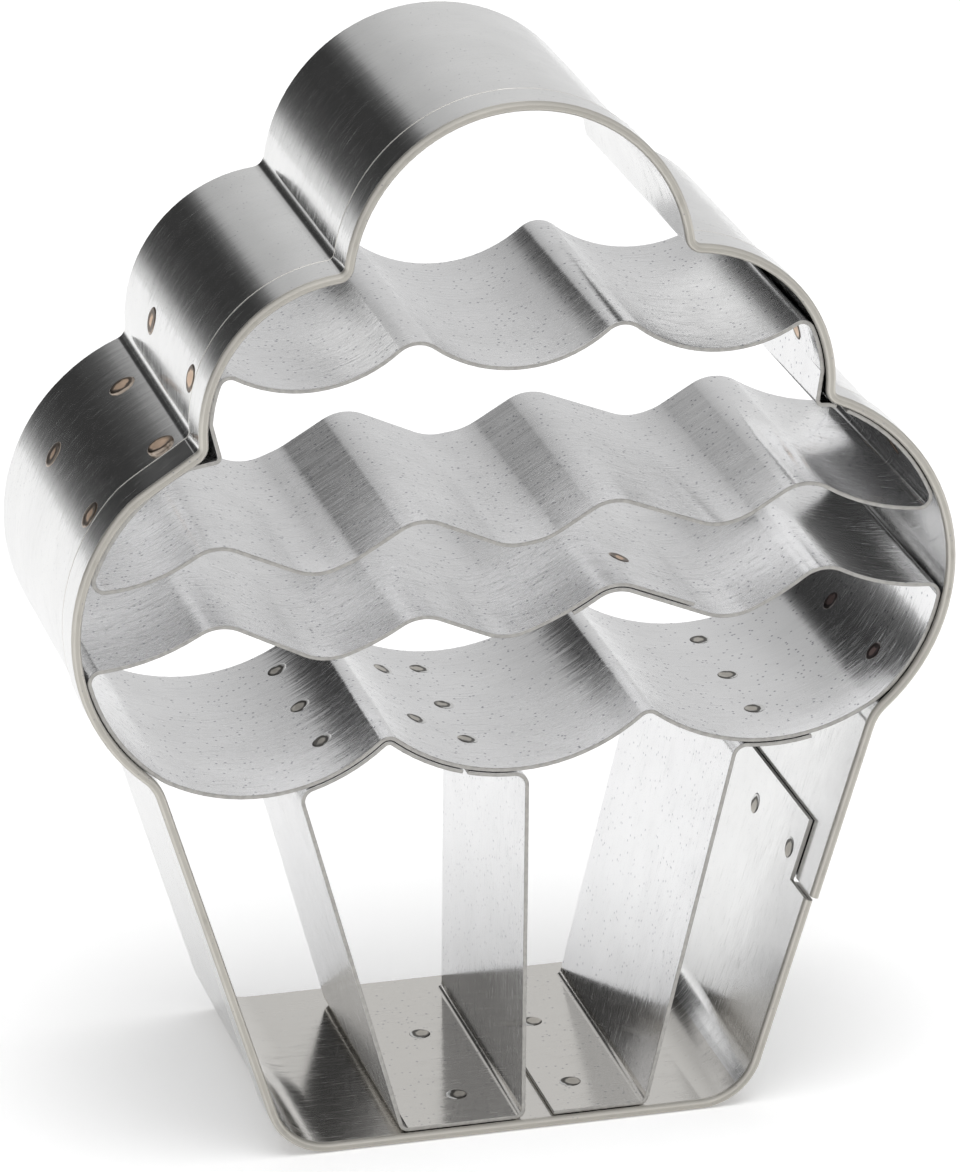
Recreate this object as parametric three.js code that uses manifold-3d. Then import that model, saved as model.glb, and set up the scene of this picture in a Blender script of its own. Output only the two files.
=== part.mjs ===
// Cupcake cookie cutter with embossing strips, bent from tinplate strip and spot welded.
// Millimetres, +Z up. It stands on the base of the cup, and its folded grip edge faces -Y.

import * as THREE from 'three';
import Module from 'manifold-3d';
import { mergeVertices } from 'three/addons/utils/BufferGeometryUtils.js';

const wasm = await Module();
wasm.setup();

// Sheet and clearances
const sheet = 0.25;
const lapGap = 0.06;
const buttGap = 0.3;

// Outer band: heights are measured from the outer face of the base
const bandDepth = 22;
const hemWidth = 3;
const hemGap = 0.05;
const baseHalf = 14.5;
const baseBend = 3.7;
const cupHalf = 22.03;
const cupHeight = 24.7;
const cupBend = 3;
const lowerNotchHalf = 18.85;
const lowerLobeRise = 20.4;
const lowerLobeBulge = 6.15;
const upperNotchHalf = 10.24;
const middleLobeRise = 10;
const middleLobeBulge = 2.91;
const domeRise = 9.47;
const notchBend = 0.8;

// Lap seam of the band, on the right wall of the cup
const seamHeight = 12.9;
const tongueLength = 4;
const tongueInset = 0.2;

// Inner strips: set back from the grip edge, and short of the cutting edge
const stripSetback = 0.4;
const embossRelief = 2.3;
const ringNotchBend = 0.4;
const stripEndBend = 0.7;

// Waves of the icing rings: crest lines are measured from the lower notches
const waveRise = 3.07;
const waveCrestBend = 1.7;
const topWave = { crests: 2, crestLine: 6.57, endDrop: 1.77, endRun: 11.5, endSag: 2.1, tiltRise: 0.25 };
const middleWave = { crests: 4, crestLine: -4.53, endDrop: 2.67, endRun: 7.4, endSag: 1.2, tiltRise: 0.38 };
const bottomWave = { crests: 4, crestLine: -10.23, endDrop: 2.47, endRun: 8.2, endSag: 1.3, tiltRise: 0.15 };
const ringButtDrop = 0.82;
const lapPastCrest = 1.6;
const lapReach = 4.5;

// Scallops under the icing: measured from the corners of the cup
const scallopWidth = 16;
const scallopSag = 3.06;
const scallopCuspRise = 1.7;
const scallopEndRise = 0.2;
const scallopCrestBend = 0.75;

// Pleats of the paper case: foot and head are distances from the middle of the cutter
const leftPleat = { foot: -7.25, head: -13.4 };
const middlePleat = { foot: 0.3, head: 0.5 };
const rightPleat = { foot: 8, head: 13.5 };
const pleatFootBend = 0.5;
const pleatHeadBend = 0.8;
const frameButt = -3.3;
const floorTabReach = 5.8;
const headTabReach = 4.7;

// Spot welds
const weldRadius = 0.7;
const weldGap = 0.05;
const weldDimple = 0.06;
const weldSides = 10;
const middleWeldRise = 3;
const lowerWeldDrop = 4.8;
const leftWeldDrop = 0.8;
const rightWeldDrop = 2.6;
const flankWeldRise = 2;
const tabWeldInset = 2.5;
const crestWeldInset = 1.35;
const frameFloorWeldInset = 3.2;
const tabFloorWeldInset = 2.1;
const lapWeldInset = 2.1;
const seamWeldRise = 1.4;

// How far a facet may stand off its arc
const chordError = 0.02;

// Derived depths and heights
const front = -bandDepth / 2;
const back = bandDepth / 2;
const stripFront = front + stripSetback;
const stripBack = back - embossRelief;
const hemFold = sheet + hemGap;
const lowerNotchHeight = cupHeight + lowerLobeRise;
const upperNotchHeight = lowerNotchHeight + middleLobeRise;
const lap = sheet + lapGap;
const ringInset = lap + sheet / 2;
const floorHeight = sheet + lapGap + sheet / 2;
const fromFront = (distance) => stripFront + distance;
const fromBack = (distance) => stripBack - distance;

// Plane geometry: points lie in the X-Z plane of the outline
const at = (x, z) => new THREE.Vector2(x, z);
const leftOf = (heading) => at(-heading.y, heading.x);

// A straight run of strip between two points
function straight(from, to) {
  return { from, heading: to.clone().sub(from).normalize() };
}

// A round run of strip that stands off its chord by the sag; turn is +1 anticlockwise, -1 clockwise
function bulged(from, to, sag, turn) {
  const chord = to.clone().sub(from);
  const radius = (chord.lengthSq() / 4 + sag * sag) / (2 * sag);
  const middle = from.clone().add(to).multiplyScalar(0.5);
  const centre = middle.addScaledVector(leftOf(chord.normalize()), turn * (radius - sag));
  return { centre, radius, turn };
}

// The same run traversed the other way
function reversed(run) {
  return run.centre ? { ...run, turn: -run.turn } : { ...run, heading: run.heading.clone().negate() };
}

// The parallel run at a distance to the left
function shifted(run, distance) {
  if (run.centre) return { ...run, radius: run.radius - run.turn * distance };
  return { ...run, from: run.from.clone().addScaledVector(leftOf(run.heading), distance) };
}

// Points where two runs cross
function crossings(a, b) {
  if (!a.centre && !b.centre) {
    const reach = b.from.clone().sub(a.from).cross(b.heading) / a.heading.cross(b.heading);
    return [a.from.clone().addScaledVector(a.heading, reach)];
  }
  if (!a.centre) {
    const foot = footOn(a, b.centre);
    const half = Math.sqrt(b.radius ** 2 - foot.distanceToSquared(b.centre));
    return [half, -half].map((reach) => foot.clone().addScaledVector(a.heading, reach));
  }
  if (!b.centre) return crossings(b, a);
  const between = b.centre.clone().sub(a.centre);
  const distance = between.length();
  const along = (distance ** 2 + a.radius ** 2 - b.radius ** 2) / (2 * distance);
  const half = Math.sqrt(a.radius ** 2 - along ** 2);
  const heading = between.normalize();
  const foot = a.centre.clone().addScaledVector(heading, along);
  return [half, -half].map((reach) => foot.clone().addScaledVector(leftOf(heading), reach));
}

// Nearest point of a run
function footOn(run, point) {
  if (run.centre) {
    const spoke = point.clone().sub(run.centre).normalize();
    return run.centre.clone().addScaledVector(spoke, run.radius);
  }
  const reach = point.clone().sub(run.from).dot(run.heading);
  return run.from.clone().addScaledVector(run.heading, reach);
}

function headingAt(run, point) {
  if (!run.centre) return run.heading;
  return leftOf(point.clone().sub(run.centre).normalize()).multiplyScalar(run.turn);
}

function meeting(a, b, near) {
  const closer = (p, q) => p.distanceToSquared(near) - q.distanceToSquared(near);
  return crossings(a, b).sort(closer)[0];
}

// The point of a circle at a height, on its left (-1) or right (+1) half
function atHeight(circle, height, side) {
  const half = Math.sqrt(circle.radius ** 2 - (height - circle.centre.y) ** 2);
  return at(circle.centre.x + side * half, height);
}

// The point on the lower half of a circle at a distance from the middle of the cutter
function below(circle, x) {
  return at(x, circle.centre.y - Math.sqrt(circle.radius ** 2 - (x - circle.centre.x) ** 2));
}

// A centreline of runs whose corners are bent round: steps are [run, corner, bend radius], last [run]
function centreline(start, steps, end) {
  const pieces = [];
  let from = start;
  steps.forEach(([run, near, radius], index) => {
    if (!near) {
      pieces.push({ run, from, to: end });
      return;
    }
    const next = steps[index + 1][0];
    const corner = meeting(run, next, near);
    const side = Math.sign(headingAt(run, corner).cross(headingAt(next, corner)));
    const centre = meeting(shifted(run, side * radius), shifted(next, side * radius), corner);
    const enter = footOn(run, centre);
    const leave = footOn(next, centre);
    pieces.push({ run, from, to: enter });
    pieces.push({ run: { centre, radius, turn: side }, from: enter, to: leave });
    from = leave;
  });
  return pieces;
}

// Stations along a centreline, each with its point and the direction to its left
function stationsOf(pieces) {
  const stations = [];
  pieces.forEach(({ run, from, to }, index) => {
    if (!run.centre) {
      const left = leftOf(run.heading);
      if (index === 0) stations.push({ point: from, left });
      stations.push({ point: to, left });
      return;
    }
    const startAngle = from.clone().sub(run.centre).angle();
    const endAngle = to.clone().sub(run.centre).angle();
    const sweep = THREE.MathUtils.euclideanModulo((endAngle - startAngle) * run.turn, 2 * Math.PI);
    const stepAngle = 2 * Math.acos(1 - Math.min(chordError / run.radius, 0.05));
    const steps = Math.ceil(sweep / stepAngle);
    for (let step = index === 0 ? 0 : 1; step <= steps; step += 1) {
      const angle = startAngle + (run.turn * sweep * step) / steps;
      const spoke = at(Math.cos(angle), Math.sin(angle));
      const point = run.centre.clone().addScaledVector(spoke, run.radius);
      stations.push({ point, left: spoke.multiplyScalar(-run.turn) });
    }
  });
  return stations;
}

// A strip swept along its stations: the section is a loop of [distance to the left, depth]
function swept(stations, section) {
  const positions = [];
  stations.forEach(({ point, left }) => {
    section.forEach(([offset, depth]) => {
      positions.push(point.x + left.x * offset, depth, point.y + left.y * offset);
    });
  });
  const size = section.length;
  const index = [];
  for (let row = 0; row + 1 < stations.length; row += 1) {
    for (let corner = 0; corner < size; corner += 1) {
      const a = row * size + corner;
      const b = row * size + ((corner + 1) % size);
      index.push(a, b, b + size, a, b + size, a + size);
    }
  }
  const outline = section.map(([offset, depth]) => at(offset, depth));
  const lastRow = (stations.length - 1) * size;
  THREE.ShapeUtils.triangulateShape(outline, []).forEach(([a, b, c]) => {
    index.push(a, b, c, lastRow + a, lastRow + c, lastRow + b);
  });
  const geometry = new THREE.BufferGeometry();
  geometry.setAttribute('position', new THREE.Float32BufferAttribute(positions, 3));
  geometry.setIndex(index);
  return geometry;
}

// Section of a plain strip, and of the band with its grip edge folded over to the outside
const stripSection = [
  [-sheet / 2, stripFront],
  [-sheet / 2, stripBack],
  [sheet / 2, stripBack],
  [sheet / 2, stripFront],
];

const tongueSection = [
  [-sheet, front + hemWidth + tongueInset],
  [-sheet, back],
  [0, back],
  [0, front + hemWidth + tongueInset],
];

function hemmedSection() {
  const foldRadius = (sheet + hemFold) / 2;
  const foldMiddle = (hemFold - sheet) / 2;
  const foldSteps = 4;
  const section = [
    [-sheet, back],
    [0, back],
    [0, front + hemWidth],
    [hemFold, front + hemWidth],
  ];
  for (let step = 0; step <= foldSteps; step += 1) {
    const angle = (Math.PI * step) / foldSteps;
    const depth = front + foldRadius * (1 - Math.sin(angle));
    section.push([foldMiddle + foldRadius * Math.cos(angle), depth]);
  }
  return section;
}

// Outline corners, and the runs between them clockwise from the right wall of the cup
const baseLeft = at(-baseHalf, 0);
const baseRight = at(baseHalf, 0);
const cupLeft = at(-cupHalf, cupHeight);
const cupRight = at(cupHalf, cupHeight);
const lowerNotchLeft = at(-lowerNotchHalf, lowerNotchHeight);
const lowerNotchRight = at(lowerNotchHalf, lowerNotchHeight);
const upperNotchLeft = at(-upperNotchHalf, upperNotchHeight);
const upperNotchRight = at(upperNotchHalf, upperNotchHeight);

const base = straight(baseRight, baseLeft);
const leftWall = straight(baseLeft, cupLeft);
const leftLower = bulged(cupLeft, lowerNotchLeft, lowerLobeBulge, -1);
const leftMiddle = bulged(lowerNotchLeft, upperNotchLeft, middleLobeBulge, -1);
const dome = bulged(upperNotchLeft, upperNotchRight, domeRise, -1);
const rightMiddle = bulged(upperNotchRight, lowerNotchRight, middleLobeBulge, -1);
const rightLower = bulged(lowerNotchRight, cupRight, lowerLobeBulge, -1);
const rightWall = straight(cupRight, baseRight);
const innerRightWall = shifted(rightWall, -lap);

// The point of a wall run at a height
function onWall(wall, height) {
  return wall.from.clone().addScaledVector(wall.heading, (height - wall.from.y) / wall.heading.y);
}

// Outer band: one strip round the whole outline, with a tongue that laps inside its own end
function outerBand() {
  const stations = stationsOf(centreline(
    onWall(innerRightWall, seamHeight),
    [
      [innerRightWall, baseRight, baseBend],
      [base, baseLeft, baseBend],
      [leftWall, cupLeft, cupBend],
      [leftLower, lowerNotchLeft, notchBend],
      [leftMiddle, upperNotchLeft, notchBend],
      [dome, upperNotchRight, notchBend],
      [rightMiddle, lowerNotchRight, notchBend],
      [rightLower, cupRight, cupBend],
      [rightWall],
    ],
    onWall(rightWall, seamHeight + buttGap),
  ));
  const rootInside = tongueLength / 4;
  const tongue = stationsOf(centreline(
    onWall(innerRightWall, seamHeight + tongueLength),
    [[innerRightWall]],
    onWall(innerRightWall, seamHeight - rootInside),
  ));
  return solid(swept(stations, hemmedSection())).add(solid(swept(tongue, tongueSection)));
}

// Runs that hug the inside of the band, anticlockwise
const hug = (run) => shifted(reversed(run), ringInset);
const hugLeftMiddle = hug(leftMiddle);
const hugLeftLower = hug(leftLower);
const hugRightMiddle = hug(rightMiddle);
const hugRightLower = hug(rightLower);

// A wave between two walls: its ends, its sharp crest points and its valley runs from left to right
function waveBetween(leftHug, rightHug, wave) {
  const crestHeight = lowerNotchHeight + wave.crestLine;
  const endHeight = crestHeight - wave.endDrop;
  const leftEnd = atHeight(leftHug, endHeight - wave.tiltRise, -1);
  const rightEnd = atHeight(rightHug, endHeight + wave.tiltRise, 1);
  const middle = (leftEnd.x + rightEnd.x) / 2;
  const half = (rightEnd.x - leftEnd.x) / 2;
  const pitch = (2 * (half - wave.endRun)) / (wave.crests - 1);
  const crests = [];
  for (let number = 0; number < wave.crests; number += 1) {
    const run = number * pitch + wave.endRun - half;
    crests.push(at(middle + run, crestHeight + (wave.tiltRise * run) / half));
  }
  const points = [leftEnd, ...crests, rightEnd];
  const valleys = points.slice(1).map((point, number) => {
    const isEnd = number === 0 || number === wave.crests;
    return bulged(points[number], point, isEnd ? wave.endSag : waveRise, 1);
  });
  return { leftEnd, rightEnd, crests, valleys };
}

// Steps of a wave for a centreline, from left to right or from right to left
function waveSteps(wave, leftwards) {
  const runs = leftwards ? wave.valleys.map(reversed).reverse() : wave.valleys;
  const crests = leftwards ? [...wave.crests].reverse() : wave.crests;
  return runs.map((run, number) => [run, crests[number], waveCrestBend]);
}

const top = waveBetween(hugLeftMiddle, hugRightMiddle, topWave);
const middle = waveBetween(hugLeftLower, hugRightLower, middleWave);
const bottom = waveBetween(hugLeftLower, hugRightLower, bottomWave);

function closeSteps(steps, corner, radius) {
  const last = steps[steps.length - 1][0];
  return [...steps.slice(0, -1), [last, corner, radius]];
}

// Upper icing ring: top wave, left wall, middle wave and right wall, with butted ends
function upperRing() {
  const buttHeight = lowerNotchHeight - ringButtDrop;
  const start = atHeight(hugRightLower, buttHeight + buttGap / 2, 1);
  const end = atHeight(hugRightLower, buttHeight - buttGap / 2, 1);
  const steps = [
    [hugRightLower, lowerNotchRight, ringNotchBend],
    [hugRightMiddle, top.rightEnd, stripEndBend],
    ...closeSteps(waveSteps(top, true), top.leftEnd, stripEndBend),
    [hugLeftMiddle, lowerNotchLeft, ringNotchBend],
    [hugLeftLower, middle.leftEnd, stripEndBend],
    ...closeSteps(waveSteps(middle, false), middle.rightEnd, stripEndBend),
    [hugRightLower],
  ];
  return solid(swept(stationsOf(centreline(start, steps, end)), stripSection));
}

// Scallops: a middle arc, and two end arcs that run up the walls of the lower lobes
const cuspHeight = cupHeight + scallopCuspRise;
const cuspLeft = at(-scallopWidth / 2, cuspHeight);
const cuspRight = at(scallopWidth / 2, cuspHeight);
const scallopLeftEnd = atHeight(hugLeftLower, cupHeight + scallopEndRise, -1);
const scallopRightEnd = atHeight(hugRightLower, cupHeight + scallopEndRise, 1);
const middleScallop = bulged(cuspLeft, cuspRight, scallopSag, 1);
const sagOf = (from, to, radius) => radius - Math.sqrt(radius ** 2 - from.distanceToSquared(to) / 4);
const leftSag = sagOf(scallopLeftEnd, cuspLeft, middleScallop.radius);
const rightSag = sagOf(cuspRight, scallopRightEnd, middleScallop.radius);
const leftScallop = bulged(scallopLeftEnd, cuspLeft, leftSag, 1);
const rightScallop = bulged(cuspRight, scallopRightEnd, rightSag, 1);

// Lower icing ring: bottom wave over scallops, with its ends lapped beyond the third crest
const lapCrest = bottom.crests[2];
const lapOverRun = bottom.valleys[3];
const lapUnderRun = bottom.valleys[2];
const lapStart = below(lapOverRun, lapCrest.x + lapReach);

function lowerRing() {
  const sink = (run) => shifted(reversed(run), lap);
  const endRun = sink(bottom.valleys[4]);
  const overRun = sink(lapOverRun);
  const underRun = sink(lapUnderRun);
  const sunkBend = waveCrestBend - lap;
  const steps = [
    ...closeSteps(waveSteps(bottom, true).slice(1), bottom.leftEnd, stripEndBend),
    [hugLeftLower, scallopLeftEnd, stripEndBend],
    [leftScallop, cuspLeft, scallopCrestBend],
    [middleScallop, cuspRight, scallopCrestBend],
    [rightScallop, scallopRightEnd, stripEndBend],
    [hugRightLower, bottom.rightEnd, stripEndBend],
    [endRun, bottom.crests[3], sunkBend],
    [overRun, lapCrest, sunkBend],
    [underRun],
  ];
  const end = footOn(underRun, below(lapUnderRun, lapCrest.x - lapPastCrest));
  return solid(swept(stationsOf(centreline(lapStart, steps, end)), stripSection));
}

// Runs along the underside of the scallops and along the floor, for the tabs of the pleats
const under = (run) => shifted(run, -lap);
const underLeft = under(leftScallop);
const underMiddle = under(middleScallop);
const underRight = under(rightScallop);
const floor = straight(at(-baseHalf, floorHeight), at(baseHalf, floorHeight));
const pleatRun = (pleat, ceiling) => straight(at(pleat.foot, floorHeight), below(ceiling, pleat.head));
const tabCrestBend = Math.max(scallopCrestBend - lap, sheet);

// Pleat frame: left pleat, floor and middle pleat in one strip, its head tabs welded under the scallops
function pleatFrame() {
  const leftRun = reversed(pleatRun(leftPleat, underLeft));
  const middleRun = pleatRun(middlePleat, underMiddle);
  const steps = [
    [reversed(underMiddle), cuspLeft, tabCrestBend],
    [reversed(underLeft), below(underLeft, leftPleat.head), pleatHeadBend],
    [leftRun, at(leftPleat.foot, floorHeight), pleatFootBend],
    [floor, at(middlePleat.foot, floorHeight), pleatFootBend],
    [middleRun, below(underMiddle, middlePleat.head), pleatHeadBend],
    [reversed(underMiddle)],
  ];
  const start = below(underMiddle, frameButt - buttGap / 2);
  const end = below(underMiddle, frameButt + buttGap / 2);
  return solid(swept(stationsOf(centreline(start, steps, end)), stripSection));
}

// Right pleat strip: floor tab, right pleat and head tab
function rightPleatStrip() {
  const steps = [
    [floor, at(rightPleat.foot, floorHeight), pleatFootBend],
    [pleatRun(rightPleat, underRight), below(underRight, rightPleat.head), pleatHeadBend],
    [underRight],
  ];
  const start = at(rightPleat.foot - floorTabReach, floorHeight);
  const end = below(underRight, rightPleat.head + headTabReach);
  return solid(swept(stationsOf(centreline(start, steps, end)), stripSection));
}

// Solids for cutting, and geometry back from them
function solid(geometry) {
  const bare = geometry.clone();
  bare.deleteAttribute('normal');
  bare.deleteAttribute('uv');
  const merged = mergeVertices(bare, 1e-5);
  return new wasm.Manifold(new wasm.Mesh({
    numProp: 3,
    vertProperties: new Float32Array(merged.attributes.position.array),
    triVerts: new Uint32Array(merged.index.array),
  }));
}

function geometryOf(body) {
  const mesh = body.getMesh();
  const geometry = new THREE.BufferGeometry();
  geometry.setAttribute('position', new THREE.Float32BufferAttribute(mesh.vertProperties, 3));
  geometry.setIndex(Array.from(mesh.triVerts));
  geometry.computeVertexNormals();
  return geometry;
}

// Spot welds: each nugget fills a hole through both sheets that it joins
const weldLength = 2 * sheet + lapGap;
const nuggetProfile = [
  at(0, -weldLength / 2 + weldDimple),
  at(weldRadius, -weldLength / 2),
  at(weldRadius, weldLength / 2),
  at(0, weldLength / 2 - weldDimple),
];

const up = new THREE.Vector3(0, 1, 0);

// A row of welds at several depths, with the foot between the sheets and the direction through them
function weldRow(name, foot, through, depths, joined) {
  return depths.map((depth, number) => ({
    name: depths.length > 1 ? `${name}_${number + 1}` : name,
    position: new THREE.Vector3(foot.x, depth, foot.y),
    turn: new THREE.Quaternion().setFromUnitVectors(up, new THREE.Vector3(through.x, 0, through.y)),
    joined,
  }));
}

// A row on a round run, at the given distance outside it
function roundWeldRow(name, run, foot, outside, depths, joined) {
  const spoke = foot.clone().sub(run.centre).normalize();
  const place = run.centre.clone().addScaledVector(spoke, run.radius + outside);
  return weldRow(name, place, spoke, depths, joined);
}

const lobeDepths = [fromFront(4.8), fromBack(3.2)];
const tabDepths = [fromFront(4.6), fromFront(10.2), fromBack(3.1)];
const crestDepths = [fromFront(6.7), fromBack(4.4)];
const floorDepths = [fromFront(3.8), fromFront(12.8)];
const seamDepths = [fromFront(4.4), fromFront(11.5)];
const flankDepths = [fromFront(4.4), fromFront(13)];
const lapDepths = [fromFront(8.3)];
const halfLap = (sheet + lapGap) / 2;

function lobeWelds(side, middleHug, lowerHug, drops) {
  const sign = side === 'left' ? -1 : 1;
  const joined = ['outer_band', 'upper_icing_ring'];
  const middleFoot = atHeight(middleHug, lowerNotchHeight + middleWeldRise, sign);
  const rows = [roundWeldRow(`weld_${side}_middle_lobe`, middleHug, middleFoot, halfLap, lobeDepths, joined)];
  drops.forEach((drop, number) => {
    const foot = atHeight(lowerHug, lowerNotchHeight - drop, sign);
    const name = `weld_${side}_lower_lobe_${number === 0 ? 'high' : 'low'}`;
    rows.push(roundWeldRow(name, lowerHug, foot, halfLap, lobeDepths, joined));
  });
  return rows.flat();
}

function scallopWelds(name, scallop, x, depths, joined) {
  return roundWeldRow(name, scallop, below(scallop, x), halfLap, depths, ['lower_icing_ring', joined]);
}

function floorWelds(name, x, joined) {
  return weldRow(name, at(x, sheet + lapGap / 2), at(0, 1), floorDepths, ['outer_band', joined]);
}

const flankFoot = atHeight(hugRightLower, cupHeight + flankWeldRise, 1);
const seamFoot = onWall(shifted(rightWall, -sheet - lapGap / 2), seamHeight + seamWeldRise);
const lapFoot = below(lapOverRun, lapStart.x - lapWeldInset);
const floorTabEnd = rightPleat.foot - floorTabReach;
const headOf = (pleat, inset) => pleat.head + inset;

const welds = [
  ...lobeWelds('left', hugLeftMiddle, hugLeftLower, [leftWeldDrop, lowerWeldDrop]),
  ...lobeWelds('right', hugRightMiddle, hugRightLower, [rightWeldDrop, lowerWeldDrop]),
  ...roundWeldRow('weld_right_flank', hugRightLower, flankFoot, halfLap, flankDepths,
    ['outer_band', 'lower_icing_ring']),
  ...roundWeldRow('weld_ring_lap', lapOverRun, lapFoot, halfLap, lapDepths, ['lower_icing_ring']),
  ...scallopWelds('weld_left_scallop', leftScallop, headOf(leftPleat, tabWeldInset), tabDepths, 'pleat_frame'),
  ...scallopWelds('weld_scallop_crest', middleScallop, frameButt - crestWeldInset, crestDepths, 'pleat_frame'),
  ...scallopWelds('weld_middle_scallop', middleScallop, headOf(middlePleat, -tabWeldInset), tabDepths,
    'pleat_frame'),
  ...scallopWelds('weld_right_scallop', rightScallop, headOf(rightPleat, tabWeldInset), tabDepths,
    'right_pleat_strip'),
  ...floorWelds('weld_frame_floor', middlePleat.foot - frameFloorWeldInset, 'pleat_frame'),
  ...floorWelds('weld_right_pleat_floor', floorTabEnd + tabFloorWeldInset, 'right_pleat_strip'),
  ...weldRow('weld_band_seam', seamFoot, leftOf(rightWall.heading), seamDepths, ['outer_band']),
];

// Cuts the holes for the welds that join this strip
function drilled(name, body) {
  let cut = body;
  welds.filter((weld) => weld.joined.includes(name)).forEach((weld) => {
    const hole = new THREE.CylinderGeometry(weldRadius + weldGap, weldRadius + weldGap, 2 * weldLength, weldSides);
    hole.applyQuaternion(weld.turn);
    hole.translate(weld.position.x, weld.position.y, weld.position.z);
    cut = cut.subtract(solid(hole));
  });
  return geometryOf(cut);
}

// The assembly, lifted so that the fold of the hem meets the table
const cutter = new THREE.Group();
const strips = new THREE.Group();
strips.position.z = hemFold;
cutter.add(strips);

const tinplate = () => new THREE.MeshStandardMaterial({ color: 0xc8c8c5, roughness: 0.3, metalness: 1 });
const weldMetal = () => new THREE.MeshStandardMaterial({ color: 0x8a7a6c, roughness: 0.5, metalness: 1 });

const builders = {
  outer_band: outerBand,
  upper_icing_ring: upperRing,
  lower_icing_ring: lowerRing,
  pleat_frame: pleatFrame,
  right_pleat_strip: rightPleatStrip,
};

Object.entries(builders).forEach(([name, build]) => {
  const strip = new THREE.Mesh(drilled(name, build()), tinplate());
  strip.name = name;
  strips.add(strip);
});

welds.forEach((weld) => {
  const nugget = new THREE.Mesh(new THREE.LatheGeometry(nuggetProfile, weldSides), weldMetal());
  nugget.name = weld.name;
  nugget.position.copy(weld.position);
  nugget.quaternion.copy(weld.turn);
  strips.add(nugget);
});

export default cutter;
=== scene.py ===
# %% [markdown]
# # A cupcake cookie cutter, bent from tinplate strip
#
# The cutter is five strips of thin bright sheet, bent and spot welded. Every strip is one width across, so it
# is made here as a bench worker makes it: an edge is laid across the strip, and then carried along a plan, a
# spin for each bend and an extrusion for each flat. Plan sizes are in millimetres, and meshes are in metres.

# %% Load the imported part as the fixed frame
import math
from collections import namedtuple

import bpy
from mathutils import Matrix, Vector


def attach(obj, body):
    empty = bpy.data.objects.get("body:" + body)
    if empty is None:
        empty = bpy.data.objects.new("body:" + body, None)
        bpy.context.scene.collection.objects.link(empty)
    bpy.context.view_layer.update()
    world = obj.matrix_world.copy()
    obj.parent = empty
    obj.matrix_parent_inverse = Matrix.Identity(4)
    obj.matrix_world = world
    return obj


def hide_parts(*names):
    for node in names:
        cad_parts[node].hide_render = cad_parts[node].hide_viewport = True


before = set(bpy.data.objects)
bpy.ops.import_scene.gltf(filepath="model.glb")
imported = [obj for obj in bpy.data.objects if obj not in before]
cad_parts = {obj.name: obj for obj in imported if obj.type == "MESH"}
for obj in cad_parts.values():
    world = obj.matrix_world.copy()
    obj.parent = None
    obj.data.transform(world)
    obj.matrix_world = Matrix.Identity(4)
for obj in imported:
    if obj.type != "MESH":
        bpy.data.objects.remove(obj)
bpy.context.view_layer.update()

bpy.ops.object.select_all(action="DESELECT")
MM = 0.001
print("frame nodes:", len(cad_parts))

# %% [markdown]
# ## Runs of a plan
#
# Seen from the front, a strip is a line of flats and arcs. A `Flat` has a start and a heading. An `Arc` has a
# centre, a radius and a turn: +1 is anticlockwise, -1 is clockwise. An arc is easiest to measure on a photo by
# its two ends and by how far it stands off the chord between them, so `arc_over` asks for that.

# %% Flats and arcs
Flat = namedtuple("Flat", "start heading")
Arc = namedtuple("Arc", "centre radius turn")


def spot(x, z):
    return Vector((x, z))


def left_of(heading):
    return Vector((-heading.y, heading.x))


def flat_to(start, end):
    return Flat(start, (end - start).normalized())


def arc_over(start, end, sag, turn):
    chord = end - start
    radius = (chord.length_squared / 4 + sag * sag) / (2 * sag)
    aside = left_of(chord.normalized()) * turn * (radius - sag)
    return Arc((start + end) / 2 + aside, radius, turn)


def backwards(run):
    if isinstance(run, Arc):
        return run._replace(turn=-run.turn)
    return run._replace(heading=-run.heading)


def beside(run, left):
    """The parallel run at a distance to the left."""
    if isinstance(run, Arc):
        return run._replace(radius=run.radius - run.turn * left)
    return run._replace(start=run.start + left_of(run.heading) * left)


# %% Points on runs
def nearest_on(run, point):
    if isinstance(run, Arc):
        return run.centre + (point - run.centre).normalized() * run.radius
    return run.start + run.heading * (point - run.start).dot(run.heading)


def heading_on(run, point):
    if isinstance(run, Arc):
        return left_of((point - run.centre).normalized()) * run.turn
    return run.heading


def at_height(arc, height, side):
    half = math.sqrt(arc.radius**2 - (height - arc.centre.y) ** 2)
    return spot(arc.centre.x + side * half, height)


def below(arc, x):
    return spot(x, arc.centre.y - math.sqrt(arc.radius**2 - (x - arc.centre.x) ** 2))


def up_flat(flat, height):
    return flat.start + flat.heading * ((height - flat.start.y) / flat.heading.y)


def crossing(a, b, near):
    """The point where two runs cross, of two the one nearest to a hint."""
    if isinstance(a, Arc) and isinstance(b, Arc):
        between = b.centre - a.centre
        along = (between.length_squared + a.radius**2 - b.radius**2) / (2 * between.length)
        foot = a.centre + between.normalized() * along
        across = left_of(between.normalized())
        half = math.sqrt(a.radius**2 - along**2)
    elif isinstance(a, Arc):
        return crossing(b, a, near)
    elif isinstance(b, Arc):
        foot = nearest_on(a, b.centre)
        across = a.heading
        half = math.sqrt(b.radius**2 - (foot - b.centre).length_squared)
    else:
        reach = (b.start - a.start).cross(b.heading) / a.heading.cross(b.heading)
        return a.start + a.heading * reach
    return min((foot + across * half, foot - across * half), key=lambda p: (p - near).length)


print("runs: flats and arcs are ready")

# %% [markdown]
# ## A plan with rounded corners
#
# Sheet can't turn a sharp corner, so each corner of a plan gets a bend. The bend's centre lies at the bend
# radius from both runs: it is where the two runs cross once they are shifted sideways by that radius.

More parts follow.
